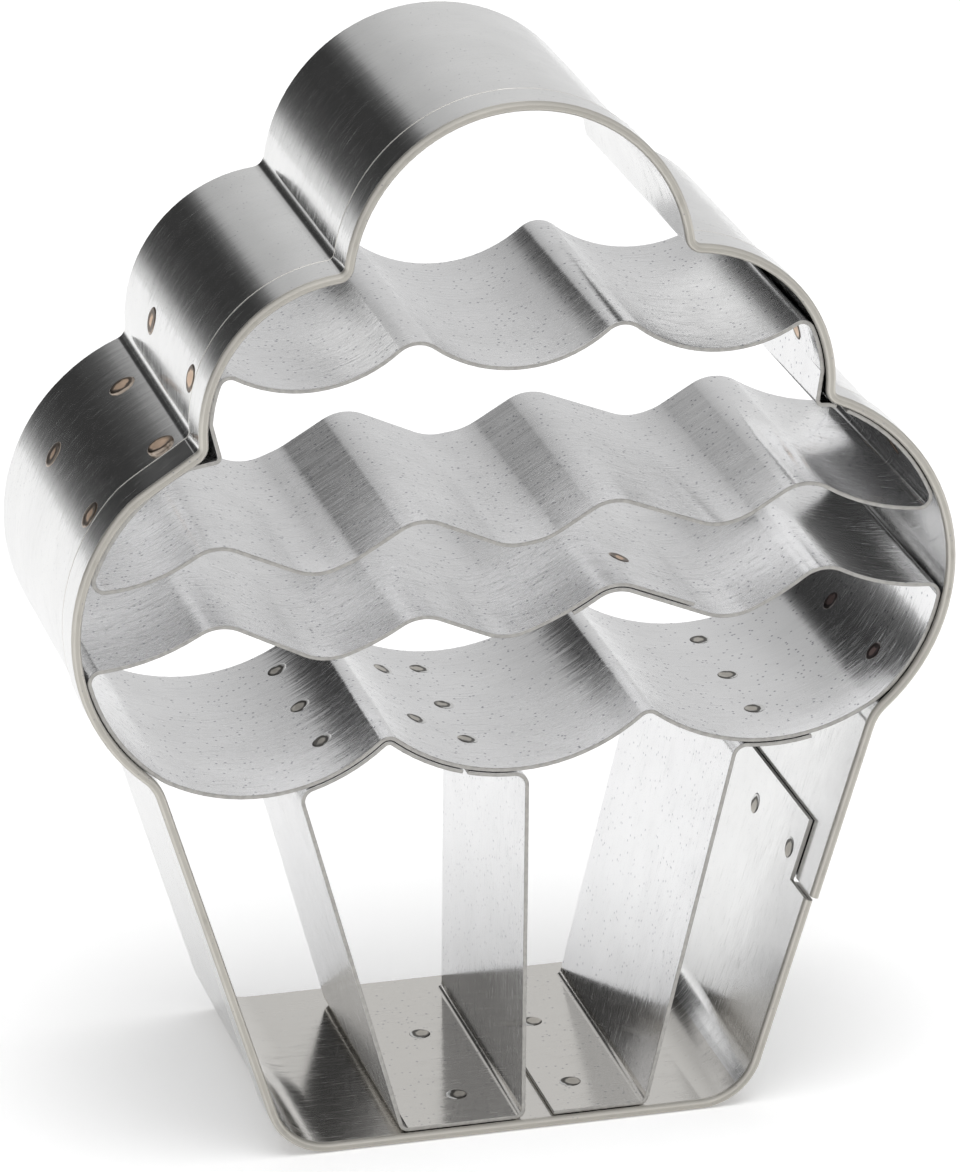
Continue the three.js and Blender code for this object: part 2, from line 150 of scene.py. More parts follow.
# %% Join runs with bends
def plan(start, steps, end):
    """Stretches (run, from, to). A step is (run, corner after it, bend radius), and the last is (run,)."""
    stretches = []
    here = start
    for step, following in zip(steps, steps[1:]):
        run, near, radius = step
        onward = following[0]
        corner = crossing(run, onward, near)
        side = math.copysign(1, heading_on(run, corner).cross(heading_on(onward, corner)))
        centre = crossing(beside(run, side * radius), beside(onward, side * radius), corner)
        enter = nearest_on(run, centre)
        leave = nearest_on(onward, centre)
        stretches.append((run, here, enter))
        stretches.append((Arc(centre, radius, side), enter, leave))
        here = leave
    stretches.append((steps[-1][0], here, end))
    return stretches


print("plan: runs are joined by bends")

# %% [markdown]
# ## Bending a strip with spin and extrude
#
# A plane would give four edges where one is wanted, so two of its corners are deleted, and the edge that stays
# stands across the strip. `mesh.spin` leaves the edge that it carried selected, so one bend follows the other.
# A bend that is too large for its runs would turn almost the whole way round, so such a turn stops the script.

# %% Lay an edge and carry it along a plan
STEP_ANGLE = math.radians(4)
FEWEST_STEPS = 6
LARGEST_TURN = math.radians(200)


def pick(piece, test):
    """Selects the vertices whose place in millimetres passes the test."""
    bpy.ops.mesh.select_all(action="DESELECT")
    bpy.ops.object.mode_set(mode="OBJECT")
    for vertex in piece.data.vertices:
        vertex.select = test(vertex.co / MM)
    bpy.ops.object.mode_set(mode="EDIT")


def lay_edge(name, place, front, back):
    size = back - front
    bpy.ops.mesh.primitive_plane_add(size=size * MM)
    strip = bpy.context.object
    strip.name = name
    bpy.ops.object.mode_set(mode="EDIT")
    pick(strip, lambda at: at.x > 0)
    bpy.ops.mesh.delete(type="VERT")
    bpy.ops.mesh.select_all(action="SELECT")
    shift = Vector((place.x + size / 2, (front + back) / 2, place.y))
    bpy.ops.transform.translate(value=shift * MM)
    return strip


def push(x, y, z):
    bpy.ops.mesh.extrude_region_move(TRANSFORM_OT_translate={"value": (x * MM, y * MM, z * MM)})


def carry(stretches):
    for run, start, end in stretches:
        if isinstance(run, Flat):
            push(end.x - start.x, 0, end.y - start.y)
            continue
        first = start - run.centre
        last = end - run.centre
        angle = run.turn * (math.atan2(last.y, last.x) - math.atan2(first.y, first.x)) % math.tau
        if angle > LARGEST_TURN:
            raise ValueError(f"a bend of {run.radius} mm does not fit near {start}")
        steps = max(FEWEST_STEPS, math.ceil(angle / STEP_ANGLE))
        centre = (run.centre.x * MM, 0, run.centre.y * MM)
        bpy.ops.mesh.spin(steps=steps, angle=angle, center=centre, axis=(0, run.turn, 0))


print("carry: a bend has at least", FEWEST_STEPS, "steps")

# %% [markdown]
# ## Tinplate
#
# Rolled tinplate is bright and nearly a mirror, but the rolls leave fine lines along the strip. Every strip
# runs in the X-Z plane, so lines along it are a noise that changes fast over Y and slowly over X and Z. Fine
# lines drive the roughness, single scratches and a faint bump. Comb lines tilt the normal along the strip, and
# that makes the borders of dark reflections look combed. The gloss is stretched too: it is wider across the
# strip. Polish and comb lines change with the height, because the photo shows the waves duller than the pleats.

# %% Helpers for node trees
def add_node(tree, kind, inputs=None, **settings):
    made = tree.nodes.new(kind)
    for key, value in settings.items():
        setattr(made, key, value)
    for key, value in (inputs or {}).items():
        if isinstance(value, bpy.types.NodeSocket):
            tree.links.new(value, made.inputs[key])
        else:
            made.inputs[key].default_value = value
    return made


def sums(tree, operation, *values):
    made = add_node(tree, "ShaderNodeMath", dict(enumerate(values)), operation=operation)
    return made.outputs["Value"]


def ramp(tree, factor, stops):
    made = add_node(tree, "ShaderNodeValToRGB", {"Fac": factor})
    elements = made.color_ramp.elements
    while len(elements) < len(stops):
        elements.new(0.5)
    for element, (place, colour) in zip(elements, stops):
        element.position = place
        element.color = (*colour, 1) if isinstance(colour, tuple) else (colour, colour, colour, 1)
    return made.outputs["Color"]


def blend(tree, factor, first, second):
    made = add_node(tree, "ShaderNodeMix", {0: factor, 6: first, 7: second}, data_type="RGBA")
    return made.outputs[2]


def noise(tree, place, scale, detail):
    made = add_node(tree, "ShaderNodeTexNoise", {"Vector": place, "Scale": scale, "Detail": detail})
    return made.outputs["Fac"]


def along_strip(tree, place, along, across):
    """Coordinates that make a noise run in lines along the strip."""
    made = add_node(tree, "ShaderNodeMapping", {"Vector": place, "Scale": (along, across, along)})
    return made.outputs["Vector"]


def between(tree, place, start, end, first=0.0, last=1.0):
    """Goes from the first to the last value while a place goes from start to end, in millimetres."""
    made = add_node(tree, "ShaderNodeMapRange", {0: place, 1: start * MM, 2: end * MM, 3: first, 4: last})
    return made.outputs[0]


def sway(tree, base, lines, amount):
    """A value that swings about its base as a noise swings about one half."""
    return sums(tree, "MULTIPLY_ADD", sums(tree, "SUBTRACT", lines, 0.5), amount, base)


def new_material(name):
    material = bpy.data.materials.new(name)
    material.use_nodes = True
    return material, material.node_tree, material.node_tree.nodes["Principled BSDF"]


print("helpers for node trees are ready")

# %% What the looks of the sheet share
TALLEST = 66
FOLD_FRONT, FOLD_BACK = -11, -10.55
FINE_LINES = (700, 13000)
BROAD_LINES = (150, 2200)
COMB_LINES = (260, 8000)

Sheet = namedtuple("Sheet", "tree place x z height fine_lines raw_line fold_depth worn_fold")


def lines_along(tree, place, scales):
    return noise(tree, along_strip(tree, place, *scales), 1.0, 2.0)


def by_height(levels):
    """Stops of a ramp over the height, from heights in millimetres."""
    return [(level / TALLEST, value) for level, value in levels]


def read_sheet(tree):
    place = add_node(tree, "ShaderNodeTexCoord").outputs["Object"]
    axes = add_node(tree, "ShaderNodeSeparateXYZ", {"Vector": place}).outputs
    height = sums(tree, "DIVIDE", axes["Z"], TALLEST * MM)
    fine_lines = lines_along(tree, place, FINE_LINES)
    raw_edge = add_node(tree, "ShaderNodeAttribute", attribute_name="raw_edge").outputs["Fac"]
    raw_line = ramp(tree, raw_edge, [(0.93, 0.0), (0.97, 1.0)])
    fold_depth = between(tree, axes["Y"], FOLD_FRONT, FOLD_BACK)
    # Mask of the fold: wear for the roughness, and painted light and shade bands for the colour
    worn_fold = ramp(tree, fold_depth, [(0.8, 1.0), (1.0, 0.0)])
    return Sheet(tree, place, axes["X"], axes["Z"], height, fine_lines, raw_line, fold_depth, worn_fold)


print("sheet: heights are shares of", TALLEST, "mm")

# %% Colour: clouds, a darker tone at the bottom, the worn fold with painted light and shade bands, its raw edge and specks
CLOUD_SCALE = 240.0
CLOUD_SHADE = 0.93
# Below this height in millimetres the sheet takes a darker tone
DARK_BOTTOM_TOP = 1.4
SPECK_SCALE = 2000.0
SPECK_COVER = 0.85
SPECK_CORE = 0.6
CUP_SPECKS = 0.62
CUP_SPECKS_TOP, ICING_SPECKS_FROM = 20, 25
BOTTOM_TONE = (0.76, 0.74, 0.705, 1)
RAW_EDGE_TONE = (0.8, 0.78, 0.74, 1)
SPECK_TONE = (0.28, 0.28, 0.32, 1)
# Tones of the worn fold, which also paint light and dark bands of reflection across its rounding
FOLD_WEAR_AND_SHADE_TONES = [
    (0.0, (0.5, 0.48, 0.44)), (0.03, (0.52, 0.5, 0.45)), (0.08, (0.66, 0.635, 0.585)),
    (0.35, (0.58, 0.56, 0.515)), (0.6, (0.5, 0.48, 0.44)), (1.0, (0.62, 0.6, 0.56))]


def sheet_colour(sheet, colour, speck_size):
    tree = sheet.tree
    clouds = noise(tree, sheet.place, CLOUD_SCALE, 4.0)
    dull = tuple(part * CLOUD_SHADE for part in colour)
    darker_bottom = sums(tree, "LESS_THAN", sheet.z, DARK_BOTTOM_TOP * MM)
    dots = add_node(tree, "ShaderNodeTexVoronoi", {"Vector": sheet.place, "Scale": SPECK_SCALE})
    specks = ramp(tree, dots.outputs["Distance"], [(speck_size * SPECK_CORE, SPECK_COVER), (speck_size, 0.0)])
    worked = between(tree, sheet.z, CUP_SPECKS_TOP, ICING_SPECKS_FROM, CUP_SPECKS, 1.0)
    tone = ramp(tree, clouds, [(0.3, dull), (0.7, colour)])
    # The sheet is darker below the bottom height
    tone = blend(tree, darker_bottom, tone, BOTTOM_TONE)
    # Paints the worn fold's tones, with painted light and shade bands across its rounding
    tone = blend(tree, sheet.worn_fold, tone, ramp(tree, sheet.fold_depth, FOLD_WEAR_AND_SHADE_TONES))
    tone = blend(tree, sheet.raw_line, tone, RAW_EDGE_TONE)
    return blend(tree, sums(tree, "MULTIPLY", specks, worked), tone, SPECK_TONE)


print("fold tones:", len(FOLD_WEAR_AND_SHADE_TONES))

# %% Roughness: polish by height, lines, scratches and wear
SHARP_FROM, SHARP_TO = 12.5, 17.5
FINE_SWAY = 0.2
BROAD_SWAY = 0.07
SCRATCH_WEAR = 0.08
FOLD_WEAR = 0.3
RAW_EDGE_WEAR = 0.4
SMOOTHEST = 0.05


def sheet_roughness(sheet, polish, right_share):
    tree = sheet.tree
    smooth = ramp(tree, sheet.height, by_height(polish))
    to_right = between(tree, sheet.x, SHARP_FROM, SHARP_TO, 1.0, right_share)
    rough = sums(tree, "MULTIPLY", smooth, to_right)
    rough = sway(tree, rough, sheet.fine_lines, FINE_SWAY)
    rough = sway(tree, rough, lines_along(tree, sheet.place, BROAD_LINES), BROAD_SWAY)
    scratches = ramp(tree, sheet.fine_lines, [(0.58, 0.0), (0.68, 1.0)])
    for wear, amount in (
        (scratches, SCRATCH_WEAR), (sheet.worn_fold, FOLD_WEAR), (sheet.raw_line, RAW_EDGE_WEAR),
    ):
        rough = sums(tree, "MULTIPLY_ADD", wear, amount, rough)
    return sums(tree, "MAXIMUM", rough, SMOOTHEST)


print("smoothest sheet has roughness", SMOOTHEST)

# %% Normal: comb lines tilt it along the strip, fine lines give a bump
CALM_FROM, CALM_TO, CALM_SHARE = 18, 21.5, 0.3
LINE_DEPTH = 0.0002


def sheet_normal(sheet, across, combing):
    tree = sheet.tree
    facing = add_node(tree, "ShaderNodeNewGeometry").outputs["Normal"]
    along = add_node(
        tree, "ShaderNodeVectorMath", {0: facing, 1: across}, operation="CROSS_PRODUCT").outputs[0]
    calm = between(tree, sheet.x, CALM_FROM, CALM_TO, 1.0, CALM_SHARE)
    comb_depth = sums(tree, "MULTIPLY", ramp(tree, sheet.height, by_height(combing)), calm)
    comb_lines = lines_along(tree, sheet.place, COMB_LINES)
    lean = sums(tree, "MULTIPLY", sums(tree, "SUBTRACT", comb_lines, 0.5), comb_depth)
    leaning = add_node(tree, "ShaderNodeVectorMath", {0: along, "Scale": lean}, operation="SCALE").outputs[0]
    tilted = add_node(tree, "ShaderNodeVectorMath", {0: facing, 1: leaning}, operation="ADD").outputs[0]
    bump = add_node(tree, "ShaderNodeBump", {
        "Height": sheet.fine_lines, "Strength": 1.0, "Distance": LINE_DEPTH * MM, "Normal": tilted})
    return bump.outputs["Normal"]


print("lines are", LINE_DEPTH, "mm deep")

# %% Tinplate and its cut edge
BRUSHED = 0.8
GRAIN_SCALE = 3000.0
EDGE_DARK, EDGE_LIGHT = (0.37, 0.36, 0.345), (0.49, 0.48, 0.455)
BAND_COLOUR = (0.865, 0.865, 0.86)
BAND_POLISH = [(0, 0.15), (66, 0.12)]
BAND_COMBING = [(18, 0.01), (23, 0.055)]
STRIP_COLOUR = (0.895, 0.895, 0.9)
STRIP_POLISH = [
    (1, 0.15), (20, 0.15), (23, 0.2), (30, 0.2), (32, 0.24), (44, 0.24), (48, 0.21), (60, 0.21)]
STRIP_COMBING = [(18, 0.036), (23, 0.24), (31, 0.24), (34, 0.12), (60, 0.12)]


def tinplate(name, colour, polish, combing, speck_size, right_share):
    """Bright sheet. Polish and combing list heights in millimetres with the roughness and the tilt there."""
    material, tree, shader = new_material(name)
    sheet = read_sheet(tree)
    across = add_node(tree, "ShaderNodeCombineXYZ", {"Y": 1.0}).outputs["Vector"]
    tree.links.new(sheet_colour(sheet, colour, speck_size), shader.inputs["Base Color"])
    tree.links.new(sheet_roughness(sheet, polish, right_share), shader.inputs["Roughness"])
    tree.links.new(sheet_normal(sheet, across, combing), shader.inputs["Normal"])
    tree.links.new(across, shader.inputs["Tangent"])
    shader.inputs["Anisotropic"].default_value = BRUSHED
    shader.inputs["Metallic"].default_value = 1
    return material


def cut_edge(name):
    material, tree, shader = new_material(name)
    place = add_node(tree, "ShaderNodeTexCoord").outputs["Object"]
    grain = noise(tree, place, GRAIN_SCALE, 3.0)
    tone = ramp(tree, grain, [(0.35, EDGE_DARK), (0.65, EDGE_LIGHT)])
    tree.links.new(tone, shader.inputs["Base Color"])
    tree.links.new(ramp(tree, grain, [(0.3, 0.35), (0.7, 0.55)]), shader.inputs["Roughness"])
    shader.inputs["Metallic"].default_value = 1
    return material


band_tin = tinplate("band_tinplate", BAND_COLOUR, BAND_POLISH, BAND_COMBING, speck_size=0.1, right_share=1.0)
strip_tin = tinplate(
    "strip_tinplate", STRIP_COLOUR, STRIP_POLISH, STRIP_COMBING, speck_size=0.19, right_share=0.62)
edge_steel = cut_edge("cut_edge_steel")
print("tinplate materials:", band_tin.name, strip_tin.name, edge_steel.name)

# %% [markdown]
# ## Thickness
#
# A carried strip has no thickness yet. Solidify gives it one, with the cut edges in a material of their own.
# Bevel takes the sharpness off these edges, and weighted normals keep the flats flat in a mirror.

# %% Give a strip its thickness and its soft edges
SHEET = 0.25
EDGE_ROUND = 0.05
EDGE_ANGLE = math.radians(50)
SMOOTH_ANGLE = math.radians(38)
SAME_VERTEX = 0.002


def use_modifier(piece, kind, **settings):
    bpy.ops.object.modifier_add(type=kind)
    modifier = piece.modifiers[-1]
    for key, value in settings.items():
        setattr(modifier, key, value)
    bpy.ops.object.modifier_apply(modifier=modifier.name)


def thicken(strip, skin):
    strip.data.materials.append(skin)
    strip.data.materials.append(edge_steel)
    bpy.ops.mesh.select_all(action="SELECT")
    bpy.ops.mesh.remove_doubles(threshold=SAME_VERTEX * MM)
    bpy.ops.mesh.normals_make_consistent(inside=False)
    bpy.ops.object.mode_set(mode="OBJECT")
    use_modifier(strip, "SOLIDIFY", thickness=SHEET * MM, offset=0, material_offset_rim=1)
    use_modifier(
        strip, "BEVEL", width=EDGE_ROUND * MM, segments=3, limit_method="ANGLE", angle_limit=EDGE_ANGLE)
    bpy.ops.object.shade_smooth_by_angle(angle=SMOOTH_ANGLE)
    use_modifier(strip, "WEIGHTED_NORMAL", keep_sharp=True)
    strip.select_set(False)
    print(strip.name, "faces:", len(strip.data.polygons))
    return strip


print("sheet thickness:", SHEET, "mm")

# %% [markdown]
# ## The outline of the cutter
#
# The outer band goes round a tapered cup, two lobes of icing on each side and a dome. The corners between them
# are mirrored, and each lobe is an arc over two corners.

# %% Corners and runs of the outline
LAP_GAP = 0.06
BUTT_GAP = 0.3
SEAM_GAP = 0.1
LAP = SHEET + LAP_GAP
HEM_GAP = 0.05
HEM_FOLD = SHEET + HEM_GAP
LIFT = HEM_FOLD

BASE_HALF = 14.5
CUP_HALF = 22.03
CUP_HEIGHT = 24.7 + LIFT
LOWER_NOTCH_HALF = 18.85
LOWER_NOTCH_HEIGHT = CUP_HEIGHT + 20.4
UPPER_NOTCH_HALF = 10.24
UPPER_NOTCH_HEIGHT = LOWER_NOTCH_HEIGHT + 10
LOWER_BULGE = 6.15
MIDDLE_BULGE = 2.91
DOME_RISE = 9.47
BASE_BEND = 3.7
CUP_BEND = 3
NOTCH_BEND = 0.8

base_left, base_right = spot(-BASE_HALF, LIFT), spot(BASE_HALF, LIFT)
cup_left, cup_right = spot(-CUP_HALF, CUP_HEIGHT), spot(CUP_HALF, CUP_HEIGHT)
low_notch_left = spot(-LOWER_NOTCH_HALF, LOWER_NOTCH_HEIGHT)
low_notch_right = spot(LOWER_NOTCH_HALF, LOWER_NOTCH_HEIGHT)
high_notch_left = spot(-UPPER_NOTCH_HALF, UPPER_NOTCH_HEIGHT)
high_notch_right = spot(UPPER_NOTCH_HALF, UPPER_NOTCH_HEIGHT)

base = flat_to(base_right, base_left)
left_wall = flat_to(base_left, cup_left)
left_lower = arc_over(cup_left, low_notch_left, LOWER_BULGE, -1)
left_middle = arc_over(low_notch_left, high_notch_left, MIDDLE_BULGE, -1)
dome = arc_over(high_notch_left, high_notch_right, DOME_RISE, -1)
right_middle = arc_over(high_notch_right, low_notch_right, MIDDLE_BULGE, -1)
right_lower = arc_over(low_notch_right, cup_right, LOWER_BULGE, -1)
right_wall = flat_to(cup_right, base_right)
inner_right_wall = beside(right_wall, -LAP)
print("dome top at", round(dome.centre.y + dome.radius, 2), "mm")

# %% [markdown]
# ## The outer band
#
# The grip edge of the band is folded over to the outside, so that nobody presses on a raw edge. The section is
# drawn first: a long edge, a half turn of spin for the fold and a short return. Then the whole section is
# carried round the outline. The ends meet on the right wall, where a tongue of one end slips inside the other.
# The photo shows the front of the left lower lobe pressed in a little below its notch. A turn with
# proportional editing does that. What lies above the notch or on the right is hidden meanwhile, so it stays.
# Last, the point attribute `raw_edge` marks the cut edge of the fold, a pale line on the outside.

# %% Draw the hemmed section and carry it round
BAND_FRONT, BAND_BACK = -11, 11
HEM_WIDTH = 3
SEAM_HEIGHT = 12.9 + LIFT
TONGUE_LENGTH = 4
TONGUE_INSET = 0.2
FOLD_STEPS = 10
SAME_PLACE = 0.01

tongue_front = BAND_FRONT + HEM_WIDTH + TONGUE_INSET
fold_radius = (SHEET + HEM_FOLD) / 2
fold_start = BAND_FRONT + fold_radius
seam_start = up_flat(inner_right_wall, SEAM_HEIGHT)
outward = left_of(inner_right_wall.heading)
mid_sheet = seam_start - outward * SHEET / 2
hem_mid = seam_start + outward * (HEM_GAP + SHEET / 2)
fold_mid = (mid_sheet + hem_mid) / 2

outer_band = lay_edge("hemmed_outer_band", mid_sheet, tongue_front, BAND_BACK)
pick(outer_band, lambda at: at.y < 0)
push(0, fold_start - tongue_front, 0)
down_wall = inner_right_wall.heading
bpy.ops.mesh.spin(
    steps=FOLD_STEPS,
    angle=math.pi,
    center=(fold_mid.x * MM, fold_start * MM, fold_mid.y * MM),
    axis=(down_wall.x, 0, down_wall.y),
)
push(0, BAND_FRONT + HEM_WIDTH - fold_start, 0)
bpy.ops.mesh.select_all(action="SELECT")
carry(plan(
    seam_start,
    [
        (inner_right_wall, base_right, BASE_BEND),
        (base, base_left, BASE_BEND),
        (left_wall, cup_left, CUP_BEND),
        (left_lower, low_notch_left, NOTCH_BEND),
        (left_middle, high_notch_left, NOTCH_BEND),
        (dome, high_notch_right, NOTCH_BEND),
        (right_middle, low_notch_right, NOTCH_BEND),
        (right_lower, cup_right, CUP_BEND),
        (right_wall,),
    ],
    up_flat(right_wall, SEAM_HEIGHT + SEAM_GAP),
))
print("seam of the band:", round(SEAM_HEIGHT, 2), "mm up the right wall")

# %% Push the tongue out of the first end
pick(outer_band, lambda at: at.y > tongue_front - SAME_PLACE
     and (spot(at.x, at.z) - mid_sheet).length < SAME_PLACE)
push(-down_wall.x * TONGUE_LENGTH, 0, -down_wall.y * TONGUE_LENGTH)
print("tongue:", TONGUE_LENGTH, "mm")

# %% Press the left lower lobe in below its notch
LEAN = 6
LEAN_CORE = 1.5
LEAN_REACH = 4.4
NOTCH_CLEAR = 0.1

lean_top = low_notch_left.y - NOTCH_CLEAR
pick(outer_band, lambda at: at.z > lean_top or at.x > 0)
bpy.ops.mesh.hide(unselected=False)
pick(outer_band, lambda at: at.y < 0 and at.x < 0 and at.z < lean_top
     and (spot(at.x, at.z) - low_notch_left).length < LEAN_CORE)
bpy.ops.transform.rotate(
    value=math.radians(LEAN),
    orient_axis="Y",
    center_override=(low_notch_left.x * MM, 0, low_notch_left.y * MM),
    use_proportional_edit=True,
    proportional_edit_falloff="SMOOTH",
    proportional_size=LEAN_REACH * MM,
)
bpy.ops.mesh.reveal(select=False)
print("lean:", LEAN, "degrees over", LEAN_REACH, "mm")

# %% Mark the raw edge of the fold and give the band its thickness
bpy.ops.object.mode_set(mode="OBJECT")
raw_place = BAND_FRONT + HEM_WIDTH
raw_edge = outer_band.data.attributes.new("raw_edge", "FLOAT", "POINT")
for vertex, value in zip(outer_band.data.vertices, raw_edge.data):
    value.value = float(abs(vertex.co.y / MM - raw_place) < SAME_PLACE)
bpy.ops.object.mode_set(mode="EDIT")
thicken(outer_band, band_tin)

# %% [markdown]
# ## The icing waves
#
# Three waves stand for the icing. No two crests are equally high, so the tops and bottoms are measured on the
# photo. The top wave is three arcs that meet in small bends. In the other two a flank falls straight from a
# crest to a valley. The middle wave then rises in two flats with a knee, and the bottom wave in a shallow arc.
# A bend cuts its corner off, so the corner between two flanks lies a little beyond each top and bottom.

# %% Plan of a wave between two walls
STRIP_FRONT = BAND_FRONT + 0.4
STRIP_BACK = BAND_BACK - 2.3
RING_INSET = LAP + SHEET / 2
FLANK_SLOPE = math.radians(29)
CORNER_CUT = 1 / math.cos(FLANK_SLOPE) - 1
END_BEND = 0.7
FLANK_RUN = 3.9
KNEE_BEND = 4.2

Bends = namedtuple("Bends", "crest valley end_sag rise_sag rise_slope")
Wave = namedtuple("Wave", "left right runs corners bends")


def hug(run):
    """The run that lies along the inside of the band, anticlockwise."""
    return beside(backwards(run), RING_INSET)


hug_left_middle, hug_right_middle = hug(left_middle), hug(right_middle)
hug_left_lower, hug_right_lower = hug(left_lower), hug(right_lower)


def wall_points(left_hug, right_hug, heights):
    left_height, right_height = heights
    return at_height(left_hug, left_height, -1), at_height(right_hug, right_height, 1)


def wave(ends, bends, turns):
    """Turns are the tops and bottoms from left to right, the first and the last are tops."""
    left, right = ends
    above_top = spot(0, bends.crest * CORNER_CUT)
    under_bottom = spot(0, bends.valley * CORNER_CUT)
    tips = [
        spot(*turn) - under_bottom if number % 2 else spot(*turn) + above_top
        for number, turn in enumerate(turns)
    ]
    runs = [arc_over(left, tips[0], bends.end_sag, 1)]
    corners = [tips[0]]
    radii = [bends.crest]
    for crest, valley, following in zip(tips[::2], tips[1::2], tips[2::2]):
        runs.append(flat_to(crest, valley))
        corners.append(valley)
        radii.append(bends.valley)
        if bends.rise_slope:
            knee = following - spot(1, math.tan(math.radians(bends.rise_slope))) * FLANK_RUN
            runs += [flat_to(valley, knee), flat_to(knee, following)]
            corners.append(knee)
            radii.append(KNEE_BEND)
        else:
            runs.append(arc_over(valley, following, bends.rise_sag, 1))
        corners.append(following)
        radii.append(bends.crest)
    runs.append(arc_over(tips[-1], right, bends.end_sag, 1))
    return Wave(left, right, runs, corners, radii)


def rightwards(shape, end_corner):
    return list(zip(shape.runs, [*shape.corners, end_corner], [*shape.bends, END_BEND]))


def leftwards(shape, end_corner):
    runs = [backwards(run) for run in reversed(shape.runs)]
    return list(zip(runs, [*reversed(shape.corners), end_corner], [*reversed(shape.bends), END_BEND]))


print("corner cut:", round(CORNER_CUT, 3), "of a bend's radius")

# %% Tops and bottoms of the three waves
TOP_ENDS = (50.6, 50.9)
TOP_ARCS = [Arc(spot(-12.7, 57.25), 8.57, 1), Arc(spot(0, 57.4), 8.45, 1), Arc(spot(12.5, 57.4), 8.45, 1)]
TOP_CRESTS = [spot(-6.3, 51.6), spot(6.25, 51.7)]
TOP_CREST_BENDS = [1.8, 1.5]
MIDDLE_ENDS = (37.4, 37.8)
MIDDLE_BENDS = Bends(crest=2.6, valley=3.3, end_sag=0.75, rise_sag=None, rise_slope=30.5)
MIDDLE_TURNS = [
    (-18.45, 39.45), (-12.3, 37.5), (-6, 39.87), (-0.7, 38.3), (5.6, 40.03), (12, 38.35), (17.7, 40.2)]
BOTTOM_ENDS = (32.45, 33.2)
BOTTOM_BENDS = Bends(crest=2.6, valley=3.5, end_sag=0.65, rise_sag=0.35, rise_slope=None)
BOTTOM_TURNS = [
    (-18.2, 34.55), (-11.9, 32.2), (-6.1, 33.9), (-0.9, 32.5), (5.75, 34.75), (12.8, 32.7), (18.7, 35.1)]

top_wave = Wave(
    *wall_points(hug_left_middle, hug_right_middle, TOP_ENDS), TOP_ARCS, TOP_CRESTS, TOP_CREST_BENDS)
middle_wave = wave(wall_points(hug_left_lower, hug_right_lower, MIDDLE_ENDS), MIDDLE_BENDS, MIDDLE_TURNS)
bottom_wave = wave(wall_points(hug_left_lower, hug_right_lower, BOTTOM_ENDS), BOTTOM_BENDS, BOTTOM_TURNS)
print("wave widths:", [round(w.right.x - w.left.x, 1) for w in (top_wave, middle_wave, bottom_wave)])

# %% The upper icing ring: top wave and middle wave in one strip
RING_BUTT_DROP = 0.82
SPRING_RISE = 2
SPRING_BEND = 0.3
SPRING_INWARD, SPRING_DOWN = 0.86, 0.5
LEFT_SPRING = (1.4, 0.55)
RIGHT_SPRING = (0.6, 0.25)


def strip_along(name, stretches):
    strip = lay_edge(name, stretches[0][1], STRIP_FRONT, STRIP_BACK)
    carry(stretches)
    return thicken(strip, strip_tin)


def sprung_notch(side, middle_hug, lower_hug, near, run, reach):
    """Points on the middle lobe, at the tip and on the lower lobe, where the ring springs free of the band."""
    corner = crossing(middle_hug, lower_hug, near)
    high = at_height(middle_hug, corner.y + SPRING_RISE, side)
    tip = corner + spot(-side * SPRING_INWARD, -SPRING_DOWN) * reach
    low_x = corner.x + side * run
    low = spot(low_x, 2 * lower_hug.centre.y - below(lower_hug, low_x).y)
    return high, tip, low


left_high, left_tip, left_low = sprung_notch(
    -1, hug_left_middle, hug_left_lower, low_notch_left, *LEFT_SPRING)
right_high, right_tip, right_low = sprung_notch(
    1, hug_right_middle, hug_right_lower, low_notch_right, *RIGHT_SPRING)
butt_height = LOWER_NOTCH_HEIGHT - RING_BUTT_DROP
upper_ring = strip_along("upper_icing_strip", plan(
    at_height(hug_right_lower, butt_height + BUTT_GAP / 2, 1),
    [
        (hug_right_lower, right_low, END_BEND),
        (flat_to(right_low, right_tip), right_tip, SPRING_BEND),
        (flat_to(right_tip, right_high), right_high, END_BEND),
        (hug_right_middle, top_wave.right, END_BEND),
        *leftwards(top_wave, top_wave.left),
        (hug_left_middle, left_high, END_BEND),
        (flat_to(left_high, left_tip), left_tip, SPRING_BEND),
        (flat_to(left_tip, left_low), left_low, END_BEND),
        (hug_left_lower, middle_wave.left, END_BEND),
        *rightwards(middle_wave, middle_wave.right),
        (hug_right_lower,),
    ],
    at_height(hug_right_lower, butt_height - BUTT_GAP / 2, 1),
))

# %% [markdown]
# ## The scallops
#
# The lower ring is the bottom wave above and three scallops below. Its ends lap beyond the third crest, so the
# end that lies under the other is planned on runs that are shifted down by one sheet and a little air.

# %% The lower icing ring: bottom wave and scallops in one strip
SCALLOP_HALF = 8
SCALLOP_SAG = 3.06
SCALLOP_CREST_BEND = 0.75
SCALLOP_LEFT_BEND = 4.5
SCALLOP_RIGHT_BEND = 7
LEFT_SCALLOP_RADIUS = 11.2
CUSP_RISE = 1.7
LEFT_END_RISE, RIGHT_END_RISE = 0.2, 1.1
LAP_REACH = 5
LAP_PAST_CREST = 2.6

cusp_left = spot(-SCALLOP_HALF, CUP_HEIGHT + CUSP_RISE)
cusp_right = spot(SCALLOP_HALF, CUP_HEIGHT + CUSP_RISE)
scallop_left_end = at_height(hug_left_lower, CUP_HEIGHT + LEFT_END_RISE, -1)
scallop_right_end = at_height(hug_right_lower, CUP_HEIGHT + RIGHT_END_RISE, 1)
middle_scallop = arc_over(cusp_left, cusp_right, SCALLOP_SAG, 1)


def scallop_between(start, end, radius):
    sag = radius - math.sqrt(radius**2 - (end - start).length_squared / 4)
    return arc_over(start, end, sag, 1)


